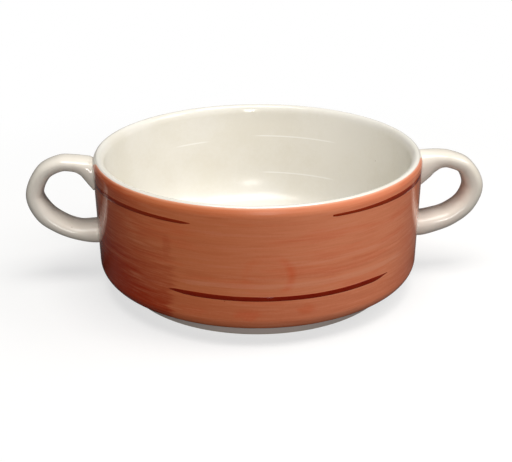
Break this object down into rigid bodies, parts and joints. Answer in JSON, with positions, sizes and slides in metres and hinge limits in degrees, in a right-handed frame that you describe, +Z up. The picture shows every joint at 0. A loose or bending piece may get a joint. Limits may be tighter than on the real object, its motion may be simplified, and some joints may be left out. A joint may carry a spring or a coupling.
{
  "type": "lug soup bowl",
  "caption": "Low straight-sided stacking soup bowl on a foot ring, with looped lug handles at opposite sides and a brushed colour band round the wall.",
  "frame": {"origin": "middle of the foot ring's resting plane, on the bowl's own axis", "axes": "+Z up along the bowl's axis out of its mouth, +X along the line of the two handles, towards the right handle, and -Y towards the front, where the lower front brush stroke is"},
  "size_m": [0.1536, 0.108, 0.045],
  "materials": {
    "glazed_body": "clear gloss glaze over warm white stoneware, bare on the foot ring's resting face",
    "glazed_handle": "clear gloss glaze over warm white stoneware",
    "glazed_slip": "luting slip wiped flush, under the same gloss glaze",
    "terracotta_wash": "brushed terracotta wash with streaks, under gloss glaze",
    "dark_stroke": "dark red-brown brush stroke under gloss glaze"
  },
  "bodies": {
    "root": {"bowl_body": "glazed_body", "left_handle": "glazed_handle", "right_handle": "glazed_handle", "left_upper_slip_joint": "glazed_slip", "left_lower_slip_joint": "glazed_slip", "right_upper_slip_joint": "glazed_slip", "right_lower_slip_joint": "glazed_slip", "wash_band": "terracotta_wash", "front_stroke": "dark_stroke", "back_stroke": "dark_stroke", "left_lip_stroke": "dark_stroke", "right_lip_stroke": "dark_stroke"}
  },
  "joints": []
}
